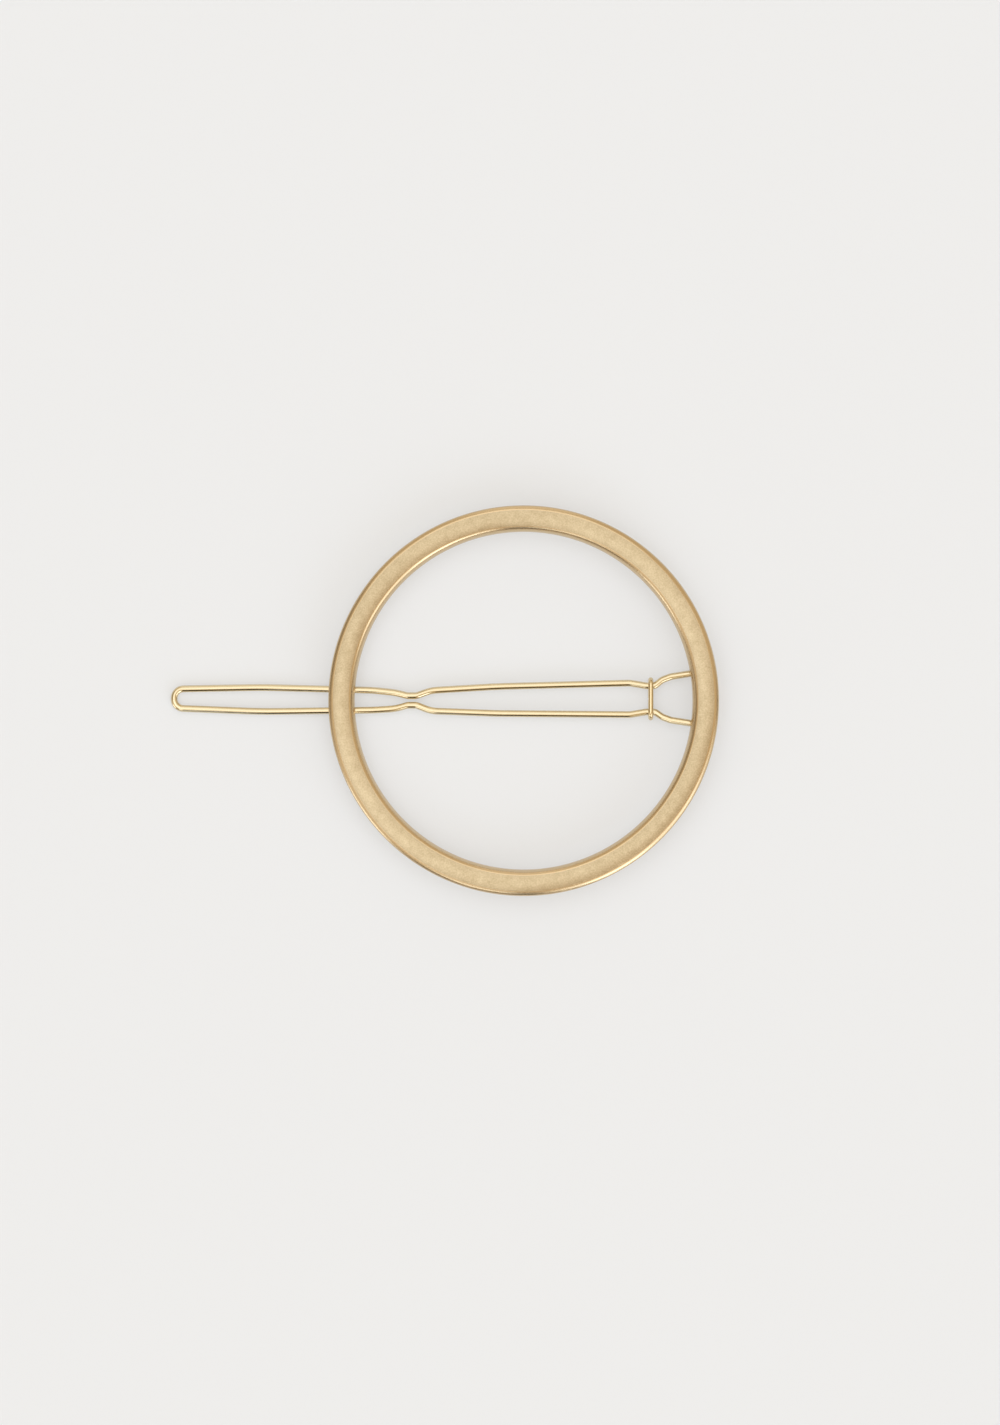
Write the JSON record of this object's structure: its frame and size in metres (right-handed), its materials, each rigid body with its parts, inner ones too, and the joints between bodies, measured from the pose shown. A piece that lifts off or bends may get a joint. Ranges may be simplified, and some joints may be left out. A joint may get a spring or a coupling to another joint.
{
  "type": "hair clip",
  "caption": "Open-circle hair clip: a flat satin ring with a long waisted wire pin hinged behind it that swings open to trap hair.",
  "frame": {"origin": "centre of the ring, in the plane of its back face, where the hair is held", "axes": "+Z out of the ring's front, +X from the centre towards the hinge, and the pin's tip points along -X"},
  "size_m": [0.0562, 0.04, 0.0037],
  "materials": {
    "satin_gold": "satin brushed pale gold plate with polished edges",
    "polished_gold": "bright polished pale gold plate"
  },
  "bodies": {
    "ring_body": {"ring": "satin_gold", "hinge_knuckle": "polished_gold"},
    "pin_body": {"pin_wire": "polished_gold", "crimp_collar": "polished_gold"}
  },
  "joints": [
    {"name": "pin_swing", "type": "hinge", "parent": "pin_body", "child": "ring_body", "pos_m": [0.01865, 0, -0.0008], "axis": [0, 1, 0], "range_deg": [0, 90]}
  ]
}
